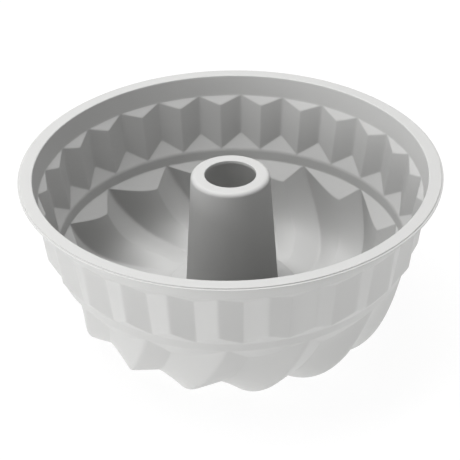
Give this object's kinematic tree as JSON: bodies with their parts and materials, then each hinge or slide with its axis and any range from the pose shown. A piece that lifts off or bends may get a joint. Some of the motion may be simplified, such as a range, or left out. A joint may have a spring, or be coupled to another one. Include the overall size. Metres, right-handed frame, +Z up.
{
  "type": "silicone bundt mould",
  "caption": "Round fluted ring cake mould in light grey silicone: flat rim, pleated band, swirled bowl and open tapered centre tube.",
  "frame": {"origin": "centre of the surface the mould stands on, on the tube's axis, at the lowest points of the swirl's crests", "axes": "+Z up along the tube's axis, open side up; -Y towards the viewer of the picture, +X to the viewer's right"},
  "size_m": [0.2416, 0.2416, 0.0993],
  "materials": {
    "silicone": "matte"
  },
  "bodies": {
    "root": {"rim_flange": "silicone", "collar_band": "silicone", "pleat_band": "silicone", "step_ring": "silicone", "swirl_bowl": "silicone", "foot_ring": "silicone", "centre_tube": "silicone", "tube_cap": "silicone"}
  },
  "joints": []
}
